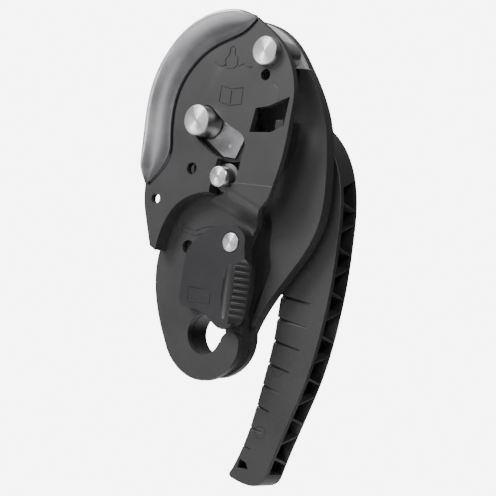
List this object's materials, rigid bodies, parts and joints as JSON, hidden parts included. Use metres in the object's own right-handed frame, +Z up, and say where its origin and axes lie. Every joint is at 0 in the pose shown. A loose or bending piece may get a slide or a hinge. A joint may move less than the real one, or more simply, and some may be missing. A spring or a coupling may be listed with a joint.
{
  "type": "belay device",
  "caption": "Self-braking belay and descent device: two side plates with a sprung gate hook, a rope cam on an axle, flared steel rims and a long moulded control handle.",
  "frame": {"origin": "centre of the attachment eye, inside the fixed plate's lug", "axes": "+Z up the long axis to the rope end, +Y along every pin towards the handle, +X to the handle's side"},
  "size_m": [0.0877, 0.0473, 0.1938],
  "materials": {
    "black_alloy": "satin black hard anodised",
    "rim_steel": "fine blasted stainless steel",
    "turned_steel": "turned stainless steel",
    "grip_nylon": "fine textured moulded nylon",
    "gate_nylon": "satin moulded nylon",
    "button_plastic": "moulded nylon",
    "spring_steel": "drawn spring wire",
    "bush_brass": "turned bush"
  },
  "bodies": {
    "frame": {"fixed_side_plate": "black_alloy", "wear_cheek": "rim_steel", "cheek_rivets": "turned_steel", "friction_shoe": "rim_steel", "shoe_rivets": "turned_steel", "pivot_post": "turned_steel", "pivot_sleeve": "turned_steel", "cam_axle": "turned_steel", "axle_screw": "turned_steel", "axle_washer": "turned_steel"},
    "moving_plate": {"moving_side_plate": "black_alloy", "wear_rim": "rim_steel", "rim_rivets": "turned_steel", "latch_stud": "turned_steel", "stud_washer": "turned_steel", "gate_rivet": "turned_steel"},
    "gate_lever": {"gate": "gate_nylon", "gate_spring": "spring_steel"},
    "cam_group": {"cam": "rim_steel", "cam_bush": "bush_brass", "cam_cheek": "rim_steel", "cam_cheek_pins": "turned_steel", "catch_pin": "turned_steel", "cam_spring": "spring_steel"},
    "catch_lever": {"error_catch": "rim_steel", "catch_spring": "spring_steel"},
    "handle": {"handle_grip": "grip_nylon", "drive_plate": "turned_steel", "grip_rivets": "turned_steel", "handle_spring": "spring_steel", "button_spring": "spring_steel"},
    "button": {"hub_button": "button_plastic"}
  },
  "joints": [
    {"name": "plate_swing", "type": "hinge", "parent": "frame", "child": "moving_plate", "pos_m": [0.0184, 0, 0.1173], "axis": [0, 1, 0], "range_deg": [0, 25]},
    {"name": "gate_hinge", "type": "hinge", "parent": "moving_plate", "child": "gate_lever", "pos_m": [0.0111, 0, 0.039], "axis": [0, 1, 0], "range_deg": [0, 18], "stiffness_Nm_per_rad": 0.03, "springref_deg": -28.65, "deforming": ["gate_spring"]},
    {"name": "cam_hinge", "type": "hinge", "parent": "frame", "child": "cam_group", "pos_m": [-0.0095, 0, 0.0868], "axis": [0, 1, 0], "range_deg": [0, 12], "stiffness_Nm_per_rad": 0.08, "springref_deg": -28.65, "deforming": ["cam_spring"]},
    {"name": "catch_hinge", "type": "hinge", "parent": "cam_group", "child": "catch_lever", "pos_m": [-0.0025, 0, 0.0945], "axis": [0, 1, 0], "range_deg": [0, 14], "stiffness_Nm_per_rad": 0.004, "springref_deg": -28.65, "deforming": ["catch_spring"]},
    {"name": "handle_hinge", "type": "hinge", "parent": "frame", "child": "handle", "pos_m": [-0.0095, 0, 0.0868], "axis": [0, -1, 0], "range_deg": [0, 130], "stiffness_Nm_per_rad": 0.1, "springref_deg": -34.38, "deforming": ["handle_spring"]},
    {"name": "button_press", "type": "slide", "parent": "handle", "child": "button", "axis": [0, -1, 0], "range_m": [0, 0.002], "stiffness_N_per_m": 700, "springref_m": -0.002, "deforming": ["button_spring"]}
  ]
}
